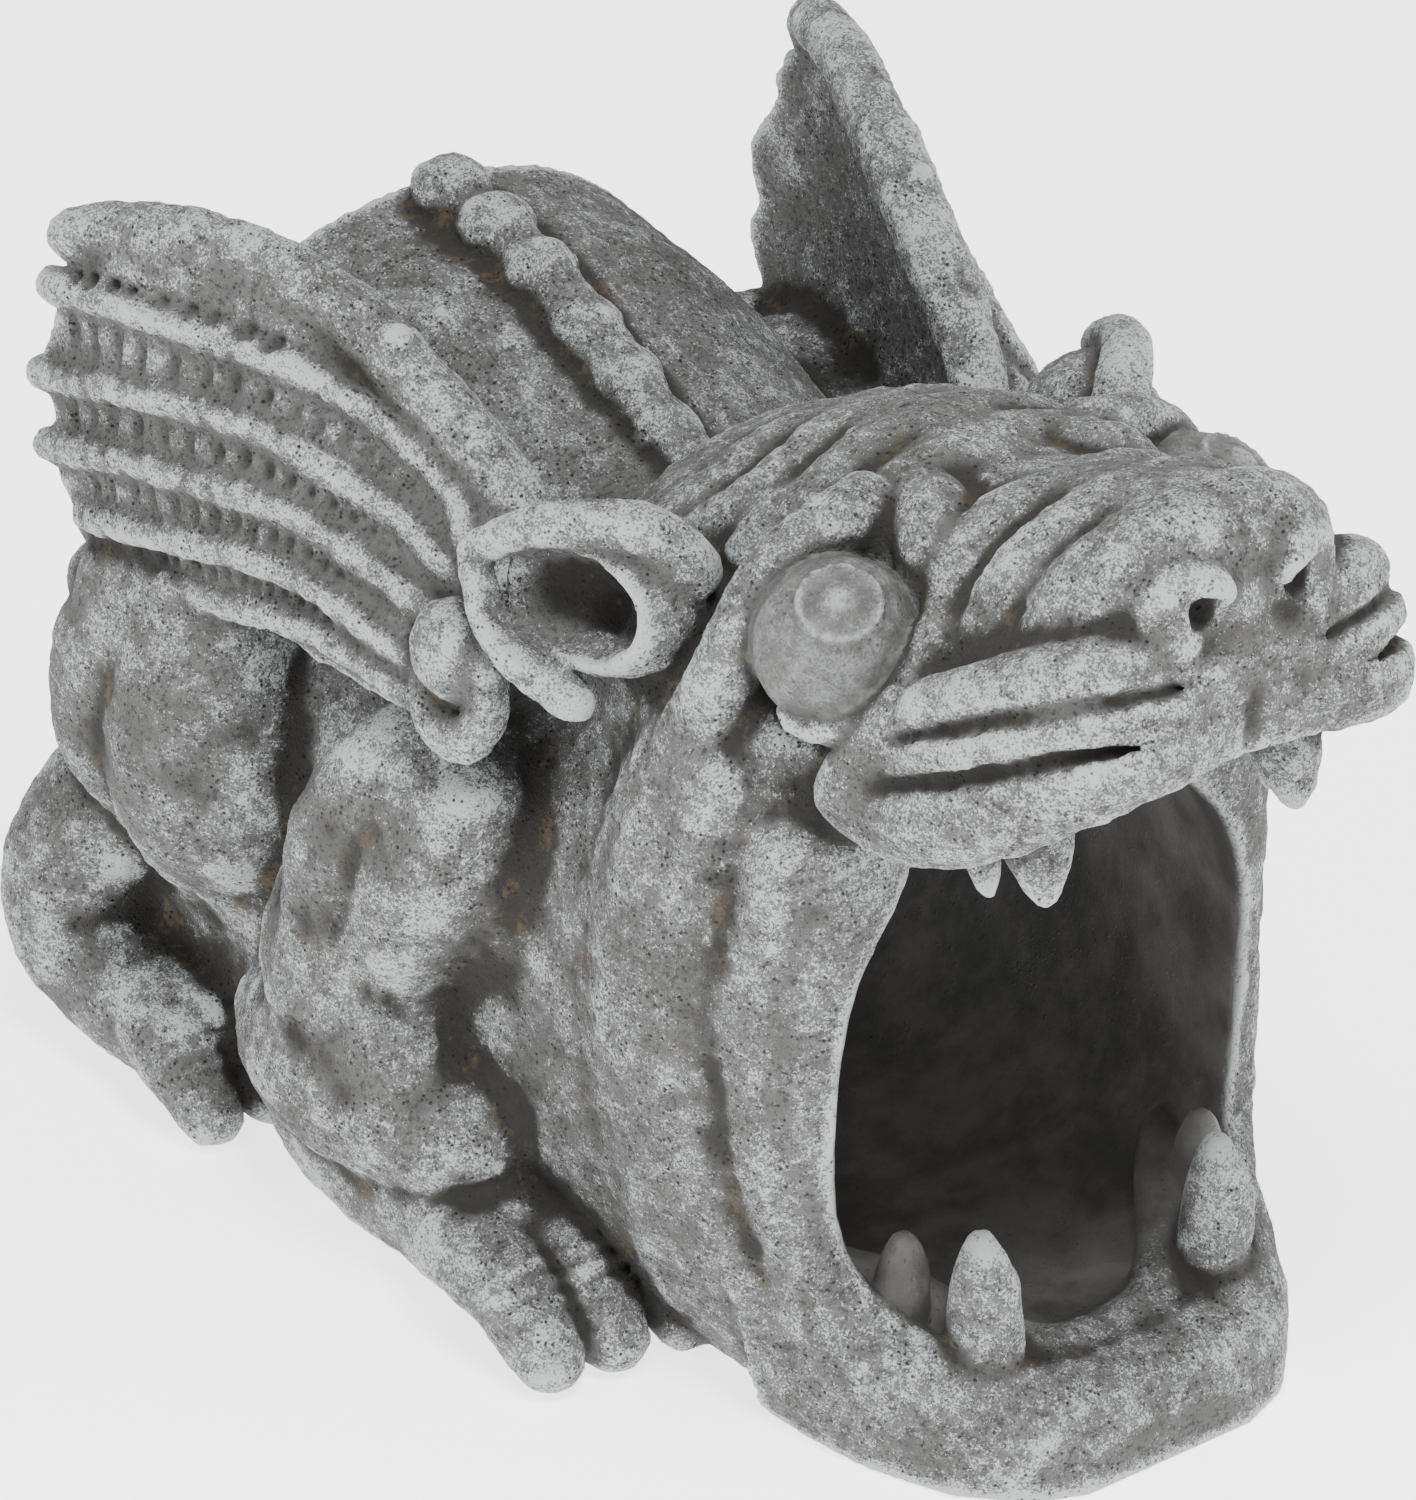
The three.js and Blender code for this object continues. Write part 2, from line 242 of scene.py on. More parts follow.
# The fold below the eye, then the ball itself.
roll(clay, [
    (36, 37, 228, 3), (46, 32, 217, 3.5), (56, 31, 205, 4), (61, 36, 193, 4.5), (62, 44, 182, 4),
], 7)
egg(clay, EYE, (EYEBALL, EYEBALL, EYEBALL), blend=0.6)
side = np.cross(GAZE, (0, 0, 1.0))
side /= np.linalg.norm(side)
lift = np.cross(side, GAZE)
turns = np.linspace(0, 2 * np.pi, 25)[:, None]
spokes = np.cos(turns) * side + np.sin(turns) * lift


def iris_ring(height, reach, thick, cut=False):
    """Circle eye centre + height * gaze + reach * spoke, raised or scored with a thin roll."""
    circle = EYE + height * GAZE + reach * spokes
    roll(clay, np.hstack([circle, np.full((len(circle), 1), thick)]), 0.8, cut, parts=1)


iris_ring(18.2, 9.5, 1.0)
roll(clay, [(*(EYE + 13 * GAZE), 8), (*(EYE + 13.8 * GAZE), 8)], 0.4, parts=1)
for height, reach in ((19.4, 7.9), (20.1, 6.0), (17.5, 11.3)):
    iris_ring(height, reach, 0.7, True)
# The lower lid.
roll(clay, [
    (72, 56, 202, 1), (70, 50, 200, 2.5), (65, 43, 201, 3.2), (58, 36, 208, 3), (50, 33, 217, 2),
], 1.5)

# ---------------------------------------------------------------------------------------- cheeks
# Thick skin folds sweep from under the eye round the corner of the mouth to the chin.  Two broad rolls
# carry them, and thin raised ridges run down over those.

roll(clay, [(54, 62, 160, 20), (56, 64, 110, 22), (50, 60, 60, 20), (42, 52, 34, 16)], 6)
roll(clay, [(60, 86, 168, 21), (63, 90, 112, 23), (58, 84, 58, 21), (48, 70, 26, 15)], 14)
roll(clay, [(70, 55, 164, 6), (73, 59, 132, 6), (73, 59, 98, 6), (69, 53, 64, 6), (58, 42, 30, 6)], 6)
roll(clay, [(78, 75, 172, 3), (82, 78, 140, 5), (82, 78, 102, 5), (77, 70, 62, 5), (65, 57, 24, 4)], 4)
roll(clay, [
    (79, 88, 174, 3), (84.5, 94, 142, 5), (85.5, 94, 102, 5), (80.5, 87, 58, 5), (67.5, 72, 18, 4),
], 4)
roll(clay, [(87, 84, 122, 2), (89, 86, 106, 2.4), (87, 85, 86, 2.2), (83, 79, 68, 1.6)], 3)

# ---------------------------------------------------------------------------------------- ears
# Short cupped ears laid back behind the brows, with rolled rims that meet in a point.  Each starts as a
# solid lump, takes its rims, and is then hollowed.

egg(clay, (76, 118, 206), (20, 26, 18), (0, 0, -20), 6)
roll(clay, [
    (64, 99, 217, 6), (72, 106, 226, 5.5), (81, 116, 228, 5), (89, 130, 223, 4.5), (96, 146, 213, 3),
], 3)
roll(clay, [
    (96, 146, 212, 3), (98, 137, 202, 4), (97, 128, 194, 4.5), (93, 117, 188, 4.5), (90, 110, 185, 3.5),
], 2.5)
egg(clay, (90, 117, 208), (15, 21, 13), (0, 0, -35), 3, True)
egg(clay, (78, 117, 203), (9, 5, 5), blend=3, cut=True)

# ---------------------------------------------------------------------------------------- lower jaw
# A squarish scoop that juts forward on the ground, its rim a thick flattened lip.  It grows out of the
# body's front end, and the duct is cut through both together.

JAW = [
    (-13, 26, 16, -10, 3.2), (-8, 40, 23, -10, 3.2), (6, 54, 33, -14, 3.4), (26, 64, 46, -16, 3.4),
    (43, 70, 61, -16, 3.2), (60, 75, 74, -16, 3.0),
]
clay.work(tub(JAW), (0, -16, -6), (90, 64, 80), 6)

# ---------------------------------------------------------------------------------------- wings
# Short leathery wings stand up and back from the shoulders: a thick leading spar, five thinner ribs
# fanning to a scalloped rear edge, and rows of small square notches pressed into the web above each rib.

# Outline of the web in y and z: up the leading edge, down the scalloped rear edge and back along the foot.
WEB = [
    (150, 196), (156, 207), (170, 219), (185, 230), (201, 239), (218, 247), (235, 252), (251, 253),
    (268, 251), (284, 248), (294, 244), (289, 238), (297, 229), (296, 222), (306, 206), (305, 197),
    (301, 190), (305, 183), (305, 177), (298, 168), (296, 160), (290, 150), (260, 152), (217, 164),
    (180, 163), (154, 164), (140, 178),
]
HALF_WEB = 4.5


def wing_x(y, z):
    """Middle of the web, a cubic in y and z: it leans out to the rear and is hollowed like a hand."""
    y, z = (y - 230) / 80, (z - 200) / 50
    return (106.6 + 17.3 * y - 5.6 * z + 24.2 * y * z - 12.7 * y * y - 10.8 * z * z + 12.4 * y * z * z
            - 17.9 * y * y * z)


def wing(x, y, z):
    """The web: the larger of |x - middle| - half its thickness and the distance outside its outline."""
    out = None
    inside = np.zeros(np.broadcast(y, z).shape, bool)
    corners = np.array(WEB, float)
    for a, b in zip(corners, np.roll(corners, -1, 0)):
        along = b - a
        t = np.clip(((y - a[0]) * along[0] + (z - a[1]) * along[1]) / (along @ along), 0, 1)
        gap = (y - a[0] - t * along[0]) ** 2 + (z - a[1] - t * along[1]) ** 2
        out = gap if out is None else np.minimum(out, gap)
        edge_y = along[0] * (z - a[1]) / (along[1] + 1e-9) + a[0]
        inside ^= ((a[1] > z) != (b[1] > z)) & (y < edge_y)
    edge = np.where(inside, -1, 1) * np.sqrt(out)
    return np.maximum(np.abs(x - wing_x(y, z)) - HALF_WEB, edge)


clay.work(wing, (60, 138, 130), (130, 320, 258), 3)
RIBS = [
    [(164, 203), (171, 211), (188, 221), (209, 229), (237, 234), (270, 234), (297, 229)],
    [(162, 196), (178, 204), (202, 211), (232, 216), (268, 211), (307, 200)],
    [(162, 188), (180, 192), (203, 198), (229, 198), (270, 191), (306, 180)],
    [(167, 176), (193, 182), (220, 183), (251, 176), (290, 166)],
    [(161, 168), (199, 171), (233, 165), (288, 152)],
]
for rib in RIBS:
    line = smooth(rib, 5)
    thick = np.interp(np.arange(len(line)), [0, len(line) - 1], [3.0, 4.5])
    roll(clay, np.column_stack([wing_x(line[:, 0], line[:, 1]) + 4.0, line, thick]), 2, parts=1)
SPAR = [
    (66, 150, 198, 6), (72, 170, 216, 7), (76, 186, 227, 7.5), (84, 218, 245, 7.5), (97, 250, 252, 7),
    (108, 275, 250, 6.5), (116, 291, 245, 5.5),
]
roll(clay, SPAR, 2.5)
egg(clay, (81, 199, 243), (3.5, 4, 4), blend=2)
# Notches: small eggs pressed in rows halfway between the spar's lower edge and the first rib, and between
# each rib and the next.  The first row starts further back, where the spar and the rib have parted.
SPAR_EDGE = [(170, 214), (201, 233), (235, 243), (268, 243), (290, 239)]
STATIONS = 60
for first, upper, lower in zip((31, 16, 16, 16, 16), [SPAR_EDGE] + RIBS[:4], RIBS):
    a, b = smooth(upper, 12), smooth(lower, 12)
    a = a[np.linspace(0, len(a) - 1, STATIONS).astype(int)]
    b = b[np.linspace(0, len(b) - 1, STATIONS).astype(int)]
    for k in range(first, STATIONS - 2, 3):
        (ya, za), (yb, zb) = a[k], b[k]
        y, z, tall = (ya + yb) / 2, (za + zb) / 2 + 0.5, max(abs(za - zb) / 2 - 4.2, 1.5)
        egg(clay, (wing_x(y, z) + 6.5, y, z), (4.2, 2.0, tall), blend=1, cut=True)
# Knob and curled lobe where the wing grows out of the shoulder.
egg(clay, (97, 150, 184), (11, 13, 13), blend=5)
egg(clay, (101, 149, 184), (7, 8, 7), blend=1.5)
roll(clay, [
    (98, 160, 178, 4), (101, 155, 167, 5), (100, 144, 163, 5), (97, 138, 172, 4.5), (97, 137, 188, 4),
], 2)

# ---------------------------------------------------------------------------------------- spine
# A row of rounded vertebrae like a twisted rope, with a sunk line on either side.  A slim roll joins
# them, and they shrink a little towards the head.

roll(clay, [
    (12, 168, 191, 1), (12, 196, 199, 1), (12, 231, 214, 1), (12, 262, 223, 1), (12, 300, 228, 1),
], 6, True)
BEADS = [(290, 226), (270, 223), (250, 218), (231, 210), (213, 203), (196, 195), (180, 189), (165, 186)]
for k, (y, z) in enumerate(BEADS):
    size = 1.05 - 0.035 * k
    egg(clay, (0, y, z - 0.5), (9 * size, 11 * size, 8.5 * size), (22, 0, 0), 2)
    egg(clay, (5.5 * size, y + 4, z), (4.5 * size, 8 * size, 6 * size), (22, 0, 25), 1.5)
roll(clay, [
    (0, 165, 184, 7), (0, 196, 192, 7.5), (0, 231, 207, 8.3), (0, 262, 217, 8.3), (0, 296, 222, 7),
], 2)

# ---------------------------------------------------------------------------------------- hind legs
# Folded under the rump: a heavy lumpy thigh with rolls of skin behind it, a low hock and a long foot.
# Two toes curl down to the ground.

egg(clay, (94, 268, 112), (25, 42, 54), blend=6)
egg(clay, (101, 262, 140), (16, 30, 26), blend=8)
egg(clay, (103, 256, 104), (15, 24, 30), (20, 0, 0), 8)
egg(clay, (98, 296, 142), (13, 12, 12), blend=6)
egg(clay, (98, 303, 118), (13, 12, 10), blend=4)
egg(clay, (98, 304, 96), (13, 12, 12), blend=4)
for y, z, r in ((302, 158, 9), (312, 138, 10), (316, 116, 10), (318, 94, 10)):
    egg(clay, (96, y - 6, z), (15, r, r), blend=3)
roll(clay, [(99, 244, 148, 8), (104, 254, 130, 13), (106, 260, 110, 14), (105, 258, 90, 10)], 12)
roll(clay, [(99, 270, 156, 8), (104, 282, 138, 12), (106, 288, 116, 13), (105, 288, 94, 10)], 12)
roll(clay, [
    (96, 300, 76, 19), (103, 314, 52, 20), (105, 310, 30, 19), (104, 284, 22, 17), (102, 262, 21, 14),
], 5)
HIND_TOES = [(112, 244, 11.5), (94, 243, 11)]
for x, y, r in HIND_TOES:
    roll(clay, [(x, y + 26, 24, r - 1), (x + 1, y + 11, 20, r - 0.5), (x, y - 1, 9, r - 3)], 1.5)

# ---------------------------------------------------------------------------------------- fore legs
# Crouched: shoulder, upper arm laid back to the elbow, forearm along the ground, and a paw with three
# knuckled toes that curl down beside the cheek.

egg(clay, (88, 168, 120), (24, 30, 36), blend=10)
roll(clay, [(91, 150, 142, 6), (96, 158, 124, 10), (98, 166, 104, 11), (98, 174, 84, 8)], 10)
roll(clay, [(92, 174, 146, 6), (98, 182, 130, 11), (101, 190, 112, 12), (101, 196, 94, 9)], 10)
egg(clay, (94, 192, 72), (26, 34, 42), blend=6)
egg(clay, (104, 174, 62), (16, 24, 20), (30, 0, 0), 6)
roll(clay, [(92, 224, 40, 20), (99, 190, 46, 23), (95, 152, 44, 18)], 5)
roll(clay, [(89, 220, 20, 18), (92, 186, 20, 19), (94, 152, 22, 18), (95, 128, 20, 15)], 4)
FORE_TOES = [(105, 102, 12), (87, 100, 12), (68, 96, 11)]
for x, y, r in FORE_TOES:
    roll(clay, [(x + 2, y + 34, 24, r - 1), (x + 1, y + 14, 22, r - 0.5), (x, y - 1, 9, r - 3)], 1.5)
# Knuckle wrinkles: shallow rings pressed square to each toe round its upper side, all along it.
arc = np.radians(np.linspace(25, 155, 7))[:, None]
half_ring = np.cos(arc) * (1, 0, 0) + np.sin(arc) * (0, -0.65, 0.76)
for x, y, r in HIND_TOES + FORE_TOES:
    for share in (0.0, 0.32, 0.64, 0.96, 1.28):
        centre = np.array([x + share, y + 1 + 13 * share, 10 + 11 * share])
        wrinkle = centre + (r + 0.5) * half_ring
        roll(clay, np.hstack([wrinkle, np.full((len(wrinkle), 1), 0.3)]), 1.8, True, parts=1)

# ---------------------------------------------------------------------------------------- duct and mouth
# The hollow that carries the water: wide open between the jaws, smooth walled, and open at the back.  A
# raised edge on its floor is the rim of the tongue.  Two fangs a side hang from the lip, and two teeth a
# side stand in the jaw.

DUCT = [
    (-60, 56, 140, 30, 2.8), (-8, 57, 146, 28, 2.8), (22, 60, 153, 23, 2.8), (60, 64, 165, 18, 2.8),
    (100, 71, 170, 15, 2.6), (160, 78, 171, 13, 2.5), (250, 87, 202, 12, 2.5), (370, 88, 211, 12, 2.5),
]
duct = tub(DUCT)
clay.work(duct, (0, -60, 5), (95, 372, 215), 4, True)
roll(clay, [(0, 14, 18, 6), (18, 16, 21, 6), (32, 28, 28, 5.5), (43, 44, 36, 5), (54, 58, 42, 2)], 5)
roll(clay, [(37, 10, 192, 9), (38, 2, 180, 7.5), (38, -2, 168, 2)], 2)
roll(clay, [(46, 22, 184, 7), (44, 16, 176, 5), (43, 13, 164, 1.5)], 2)
roll(clay, [(36, 16, 26, 9), (37, 16, 48, 8), (37, 18, 62, 3)], 2)
roll(clay, [(48, 36, 30, 7), (47, 35, 46, 6), (47, 35, 56, 3)], 2)

# ---------------------------------------------------------------------------------------- skin
# The clay is cut flat along the ground, mirrored and skinned.  The skin is then roughened like a casting
# from a hand-worked pattern, thinned, and painted as grey stone with rubbed high places, and its hollows are
# darkened with dirt and painted shade.

TRIANGLES = 190000
# The clay's chin line y = 0 in the frame: the middle of the solid's box lies this far behind the line.
CHIN_TO_MIDDLE = 153.82
lowest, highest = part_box("gargoyle")
CHIN = (lowest.y + highest.y) / 2 * 1000 - CHIN_TO_MIDDLE
clay.value = np.maximum(clay.value, -clay.axis[2].reshape(1, 1, -1))
field = np.concatenate([clay.value[:0:-1], clay.value], 0)
corner = np.array([-STEP * (len(clay.value) - 1), clay.axis[1][0], clay.axis[2][0]])


def skin(values):
    """Surface where the values change sign, as vertices in grid units and quads that face out.

    One vertex stands in each cell that the surface passes through, at the mean of its crossings with the
    cell's edges: the share a / (a - b) of the way from a to b.  One quad goes round each crossed grid edge.
    """
    solid = values < 0
    count = np.zeros([n - 1 for n in values.shape], np.uint8)
    for i, j, k in np.ndindex(2, 2, 2):
        count += solid[i:i + count.shape[0], j:j + count.shape[1], k:k + count.shape[2]]
    cells = np.argwhere((count > 0) & (count < 8))
    number = np.full(count.shape, -1, np.int32)
    number[tuple(cells.T)] = np.arange(len(cells))
    total, hits = np.zeros((len(cells), 3)), np.zeros(len(cells))
    quads = []
    for axis in range(3):
        first, second = (axis + 1) % 3, (axis + 2) % 3
        for u, v in np.ndindex(2, 2):
            low = cells.copy()
            low[:, first] += u
            low[:, second] += v
            high = low.copy()
            high[:, axis] += 1
            a, b = values[tuple(low.T)], values[tuple(high.T)]
            crossed = (a < 0) != (b < 0)
            spot = low[crossed].astype(float)
            spot[:, axis] += a[crossed] / (a[crossed] - b[crossed])
            total[crossed] += spot
            hits[crossed] += 1
        inner = [slice(1, -1)] * 3
        inner[axis] = slice(0, -1)
        outer = list(inner)
        outer[axis] = slice(1, None)
        before, after = solid[tuple(inner)], solid[tuple(outer)]
        for leaving in (True, False):
            edge = np.argwhere((before & ~after) if leaving else (~before & after)) + 1
            edge[:, axis] -= 1
            loop = []
            for u, v in ((1, 1), (0, 1), (0, 0), (1, 0)):
                cell = edge.copy()
                cell[:, first] -= u
                cell[:, second] -= v
                loop.append(number[tuple(cell.T)])
            quads.append(np.stack(loop if leaving else loop[::-1], 1))
    return total / hits[:, None], np.concatenate(quads)


def sample(values, spots):
    """Values at fractional grid places: the eight nearest, each by its share t or 1 - t along every axis."""
    low = np.clip(np.floor(spots).astype(int), 0, np.array(values.shape) - 2)
    t = spots - low
    out = np.zeros(len(spots))
    for near in np.ndindex(2, 2, 2):
        share = np.prod(np.where(near, t, 1 - t), 1)
        out += share * values[tuple((low + near).T)]
    return out


def lumps(spots, size, seed):
    """Value noise in -1..1: random numbers on a lattice of this size, blended by t^2 (3 - 2t)."""
    lattice = 64
    table = np.random.default_rng(seed).uniform(-1, 1, (lattice, lattice, lattice)).astype(np.float32)
    low = np.floor(spots / size).astype(int)
    t = spots / size - low
    t = t * t * (3 - 2 * t)
    out = np.zeros(len(spots))
    for near in np.ndindex(2, 2, 2):
        share = np.prod(np.where(near, t, 1 - t), 1)
        out += share * table[tuple(((low + near) % lattice).T)]
    return out


def crowding(values, reach):
    """Share of stone in the box of this half width, in cells, round each grid point.

    Along each axis in turn: the running sum at the box's far end less that at its near end, over its width.
    """
    width = 2 * reach + 1
    share = (values < 0).astype(np.float32)
    for axis in range(3):
        share = np.moveaxis(share, axis, 0)
        pad = np.concatenate([np.repeat(share[:1], reach + 1, 0), share, np.repeat(share[-1:], reach, 0)])
        sums = np.cumsum(pad, 0, dtype=np.float64)
        share = ((sums[width:] - sums[:-width]) / width).astype(np.float32)
        share = np.moveaxis(share, 0, axis)
    return share


def on_duct(spots):
    """1 on the duct's wall, falling to 0 between 0.4 and 2.4 mm outside it: 1.2 - distance / 2, clipped."""
    return np.clip(1.2 - duct(spots[:, 0], spots[:, 1], spots[:, 2]) / 2, 0, 1)


def off_eyeball(spots):
    """Height over the ball of the nearer eye: |spot - centre| - radius, with x folded to the one side."""
    return np.linalg.norm(np.abs(spots * (1, 0, 0)) + spots * (0, 1, 1) - EYE, axis=1) - EYEBALL


spots, quads = skin(field)
slope = np.stack([sample(g, spots) for g in np.gradient(field)], 1)
slope /= np.linalg.norm(slope, axis=1)[:, None] + 1e-9
points = spots * STEP + corner
# Roughness as (height, size, seed) of lumps, calm in the throat and on the eyes and greater on the legs.
SKIN_LUMPS = [(0.40, 9, 1), (0.36, 4.2, 2), (0.34, 2.3, 3)]
LEG_LUMPS = [(1.1, 16, 4), (0.5, 7, 5)]
x, y, z = points.T
calm = np.maximum(on_duct(points) * (y > 20), np.clip(1.5 - np.abs(off_eyeball(points)) / 1.5, 0, 1))
rough = sum(tall * lumps(points, size, seed) for tall, size, seed in SKIN_LUMPS) * (1 - 0.85 * calm)
legs = np.clip((np.abs(x) - 80) / 10, 0, 1) * np.clip((y - 125) / 20, 0, 1) * np.clip((165 - z) / 20, 0, 1)
rough += legs * sum(tall * lumps(points, size, seed) for tall, size, seed in LEG_LUMPS)
off_ground = np.clip(z / 3, 0, 1)
points += slope * (rough * off_ground)[:, None]
points[:, 2] = np.maximum(points[:, 2], 0)
points[points[:, 2] < 0.3 * STEP, 2] = 0
points[:, 1] += CHIN

mesh = bpy.data.meshes.new("gargoyle")
mesh.vertices.add(len(points))
mesh.vertices.foreach_set("co", (points * 0.001).astype(np.float32).ravel())
mesh.loops.add(quads.size)
mesh.loops.foreach_set("vertex_index", quads.astype(np.int32).ravel())
mesh.polygons.add(len(quads))
mesh.polygons.foreach_set("loop_start", np.arange(0, quads.size, 4, dtype=np.int32))
mesh.update(calc_edges=True)
mesh.validate()
gargoyle = bpy.data.objects.new("gargoyle", mesh)
bpy.context.collection.objects.link(gargoyle)
thin = gargoyle.modifiers.new("thin", "DECIMATE")
thin.ratio = min(1.0, TRIANGLES / (2 * len(quads)))
evaluated = gargoyle.evaluated_get(bpy.context.evaluated_depsgraph_get())
thinned = bpy.data.meshes.new_from_object(evaluated)
gargoyle.modifiers.clear()
gargoyle.data = thinned
bpy.data.meshes.remove(mesh)
thinned.name = "gargoyle"
thinned.shade_smooth()

# Wear, and dirt with painted shade, are measured on the finished skin: where little stone surrounds a point it
# is rubbed pale, where much does it is a hollow that keeps its dirt and is painted darker as shade too.
co = np.empty(len(thinned.vertices) * 3, np.float32)
thinned.vertices.foreach_get("co", co)
co = co.reshape(-1, 3) * 1000 - (0, CHIN, 0)
places = (co - corner) / STEP
RUB_REACH, DIRT_AND_SHADE_REACH = 3.5, 10
measures = {
    "raised": 0.5 - sample(crowding(field, max(1, round(RUB_REACH / STEP))), places),
    "sunk": sample(crowding(field, max(1, round(DIRT_AND_SHADE_REACH / STEP))), places) - 0.5,
    "throat": on_duct(co) * np.clip((co[:, 1] - 10) / 20, 0, 1),
    "eyeball": np.clip(1.6 - np.abs(off_eyeball(co)) / 1.5, 0, 1),
}
for name, values in measures.items():
    layer = thinned.attributes.new(name, "FLOAT", "POINT")
    layer.data.foreach_set("value", values.astype(np.float32))


class Wire:
    """A node socket that takes part in arithmetic: each operator adds a Math node."""

    tree = None

    def __init__(self, socket):
        self.socket = socket

    @staticmethod
    def node(kind, settings=None, out=0, **inputs):
        """Adds a node, sets its settings, links or sets its inputs by name, and returns one output."""
        made = Wire.tree.nodes.new(kind)
        for key, value in (settings or {}).items():
            setattr(made, key, value)
        for key, value in inputs.items():
            name = key.replace("_", " ")
            slot = made.inputs[int(key[1:])] if key[1:].isdigit() else made.inputs[name]
            if isinstance(value, Wire):
                Wire.tree.links.new(value.socket, slot)
            else:
                slot.default_value = value
        return Wire(made.outputs[out])

    def math(self, kind, other, turned=False):
        """Math node of this kind on self and other, or on other and self."""
        a, b = (other, self) if turned else (self, other)
        return Wire.node("ShaderNodeMath", {"operation": kind}, i0=a, i1=b)

    def __add__(self, other):
        return self.math("ADD", other)

    def __radd__(self, other):
        return self.math("ADD", other, True)

    def __sub__(self, other):
        return self.math("SUBTRACT", other)

    def __rsub__(self, other):
        return self.math("SUBTRACT", other, True)

    def __mul__(self, other):
        return self.math("MULTIPLY", other)

    def __rmul__(self, other):
        return self.math("MULTIPLY", other, True)

    def ramp(self, low, high, to_low=0.0, to_high=1.0):
        """Smooth step 3t^2 - 2t^3 of the value from low to high."""
        return Wire.node("ShaderNodeMapRange", {"interpolation_type": "SMOOTHSTEP"}, Value=self, From_Min=low,
                         From_Max=high, To_Min=to_low, To_Max=to_high)


def mix(share, a, b):
    """Colour a turned to b by share."""
    return Wire.node("ShaderNodeMix", {"data_type": "RGBA"}, 2, i0=share, i6=a, i7=b)


stone = bpy.data.materials.new("stone")
stone.use_nodes = True
Wire.tree = stone.node_tree
place = Wire.node("ShaderNodeTexCoord", out=3)


def noise(size, detail, rough, where=None):
    """Fractal noise whose largest grain is the given size in metres."""
    kind = "ShaderNodeTexNoise"
    return Wire.node(kind, Vector=where or place, Scale=1 / size, Detail=detail, Roughness=rough)


def measured(name):
    """What was measured on the skin under this name."""
    return Wire.node("ShaderNodeAttribute", {"attribute_name": name}, 2)


raised, sunk, throat, eyeball = [measured(name) for name in measures]
grit = noise(0.0007, 3, 0.8)
grain = noise(0.0018, 5, 0.8)
patch = noise(0.030, 5, 0.65)
stroke = noise(0.0026, 6, 0.9, where=Wire.node("ShaderNodeMapping", Vector=place, Scale=(1.0, 0.55, 1.0)))
pits = Wire.node("ShaderNodeTexVoronoi", {"feature": "F1"}, Vector=place, Scale=520.0)
pitted = pits.ramp(0.12, 0.32, 1, 0) * noise(0.007, 4, 0.7).ramp(0.47, 0.57)
# Rubbed high places: a dry brush catches the grain on anything that stands proud.
proud = (raised * 3.4 + (grain - 0.5) * 2.4 + (patch - 0.5) * 0.5).ramp(-0.2, 0.5)
brush = (stroke - 0.5) * 3.4 + (grit - 0.5) * 3.6 + raised * 4.6 + (patch - 0.5) * 0.9 - 0.30
brushed = brush.ramp(0.0, 0.34)
# Dirt and painted shade lie thick in the hollows, with brown stains; the small pits are painted near black as
# the shade inside them.
dirt_and_painted_shade = (sunk * 7.2 - raised * 2.6 + (grain - 0.5) * 2.2 + (patch - 0.5) * 0.4).ramp(0.0, 0.8)
body = mix(patch.ramp(0.3, 0.7), (0.118, 0.118, 0.111, 1), (0.162, 0.165, 0.160, 1))
body = mix(grain.ramp(0.38, 0.50, 1, 0) * 0.75, body, (0.040, 0.038, 0.034, 1))
body = mix(proud * 0.45, body, (0.27, 0.285, 0.285, 1))
body = mix(brushed * 0.85, body, (0.70, 0.75, 0.750, 1))
body = mix(dirt_and_painted_shade * 0.9, body, (0.030, 0.027, 0.023, 1))
stain = noise(0.012, 5, 0.75).ramp(0.55, 0.68) * sunk.ramp(-0.06, 0.08)
body = mix(stain * 0.5, body, (0.185, 0.135, 0.075, 1))
# Painted shade: the pits are darkened near black, as the shade inside them, everywhere but the duct.
body = mix(pitted * (1 - throat) * 0.9, body, (0.014, 0.013, 0.012, 1))
# The duct's wall is darker and smoother: its dark is partly the wall's own grey-brown and partly painted
# shade deep in the throat.  The eyeballs are smooth too, and pale only on the raised rings.
inside = mix(noise(0.03, 5, 0.6).ramp(0.35, 0.7), (0.036, 0.034, 0.031, 1), (0.120, 0.114, 0.106, 1))
body = mix(throat, body, inside)
orb = mix(noise(0.006, 5, 0.7).ramp(0.4, 0.7), (0.060, 0.061, 0.057, 1), (0.135, 0.140, 0.134, 1))
orb = mix((raised * 5.0 + (grain - 0.5) * 2.0).ramp(0.45, 1.0) * 0.5, orb, (0.42, 0.44, 0.435, 1))
body = mix(eyeball * 0.85, body, orb)
depth = (grain * 1.3 + grit * 0.6 + stroke * 0.7 - pitted * 1.0) * (1 - throat * 0.85) * (1 - eyeball * 0.8)
bump = Wire.node("ShaderNodeBump", Height=depth, Distance=0.0018, Strength=1.0)
shader = stone.node_tree.nodes["Principled BSDF"]
shader.inputs["Specular IOR Level"].default_value = 0.35
Wire.tree.links.new(body.socket, shader.inputs["Base Color"])
Wire.tree.links.new(bump.socket, shader.inputs["Normal"])
matt = 0.93 - throat * 0.38 - eyeball * 0.25 + (grit - 0.5) * 0.2
Wire.tree.links.new(matt.socket, shader.inputs["Roughness"])
thinned.materials.clear()
thinned.materials.append(stone)
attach(gargoyle, "root")
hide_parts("gargoyle")

# ---------------------------------------------------------------------------------------- floor and light
# A plain pale studio floor that glows faintly, so that it stays near white, with a large soft light above
# and two weaker ones at the sides.

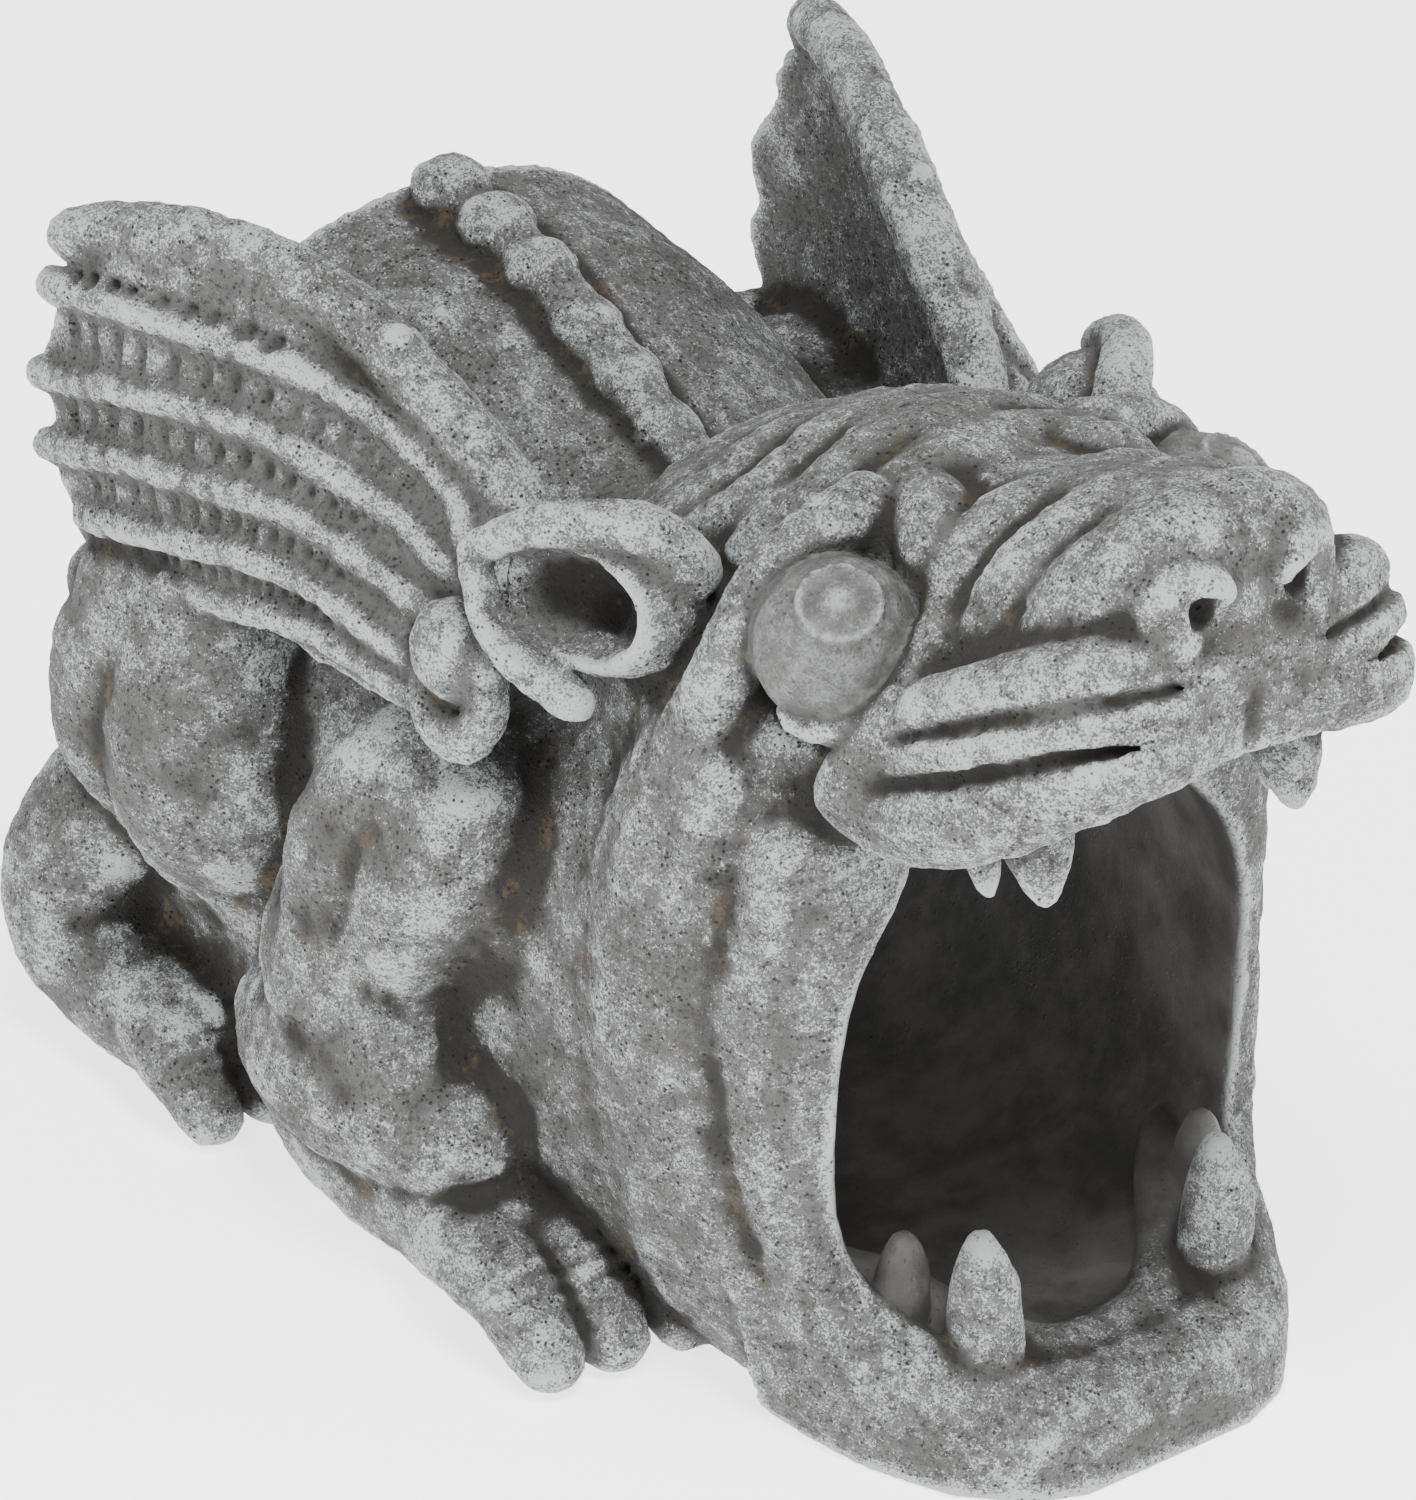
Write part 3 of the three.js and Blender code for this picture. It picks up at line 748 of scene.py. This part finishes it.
FLOOR = 8.0
floor_mesh = bpy.data.meshes.new("floor")
floor_mesh.from_pydata(
    [(-FLOOR, -FLOOR, 0), (FLOOR, -FLOOR, 0), (FLOOR, FLOOR, 0), (-FLOOR, FLOOR, 0)], [], [(0, 1, 2, 3)])
floor = bpy.data.objects.new("floor", floor_mesh)
bpy.context.collection.objects.link(floor)
pale = bpy.data.materials.new("pale")
pale.use_nodes = True
paint = pale.node_tree.nodes["Principled BSDF"]
paint.inputs["Base Color"].default_value = (0.93, 0.93, 0.93, 1)
paint.inputs["Roughness"].default_value = 0.9
paint.inputs["Emission Color"].default_value = (1.0, 1.0, 1.0, 1)
paint.inputs["Emission Strength"].default_value = 2.2
floor_mesh.materials.append(pale)
world = bpy.data.worlds.new("studio")
bpy.context.scene.world = world
world.use_nodes = True
sky = world.node_tree.nodes["Background"]
sky.inputs["Color"].default_value = (1.0, 1.0, 1.0, 1)
sky.inputs["Strength"].default_value = 0.9


def turned_to(right, up, back, spot):
    """Matrix of a thing at the spot whose own x, y and z axes point right, up and back."""
    columns = np.stack([right, up, back], 1)
    return Matrix([[*row, value] for row, value in zip(columns, spot)] + [[0, 0, 0, 1]])


def softbox(name, spot, target, size, power):
    """Square area light at the spot, facing the target: its back is spot - target, made one long."""
    lamp = bpy.data.lights.new(name, "AREA")
    lamp.size = size
    lamp.energy = power
    made = bpy.data.objects.new(name, lamp)
    bpy.context.collection.objects.link(made)
    back = np.array(spot, float) - target
    back /= np.linalg.norm(back)
    right = np.cross((0, 0, 1.0), back)
    right /= np.linalg.norm(right)
    made.matrix_world = turned_to(right, np.cross(back, right), back, spot)


softbox("key", (-0.3, -0.6, 1.6), (0, 0, 0.1), 0.5, 34)
softbox("side", (1.2, -1.1, 0.9), (0, 0, 0.1), 1.0, 9)
softbox("fill", (-1.5, -0.2, 0.9), (0, 0, 0.15), 1.0, 9)

# ---------------------------------------------------------------------------------------- camera
# A long lens 1.73 m away, from the animal's front right and above.  It is aimed near the middle of the
# body and then slid a little along its own sides, which centres the animal without turning the view.

AIM = (0, 150, 80)
AWAY = 1730
SLIDE_RIGHT, SLIDE_UP = -16.53, 38.41
around, above, rolled = np.radians([-37.09, 29.69, 0.78])
back = np.array([np.sin(around) * np.cos(above), -np.cos(around) * np.cos(above), np.sin(above)])
flat = np.array([np.cos(around), np.sin(around), 0])
rise = np.cross(back, flat)
right = flat * np.cos(rolled) + rise * np.sin(rolled)
up = rise * np.cos(rolled) - flat * np.sin(rolled)
stand = np.array(AIM) + AWAY * back + SLIDE_RIGHT * right + SLIDE_UP * up
stand[1] += CHIN
camera_data = bpy.data.cameras.new("camera")
camera_data.sensor_fit = "VERTICAL"
camera_data.sensor_height = 36
camera_data.lens = 162.66
camera_data.clip_end = 20
camera = bpy.data.objects.new("camera", camera_data)
bpy.context.collection.objects.link(camera)
camera.matrix_world = turned_to(right, up, back, stand * 0.001)
bpy.context.scene.camera = camera
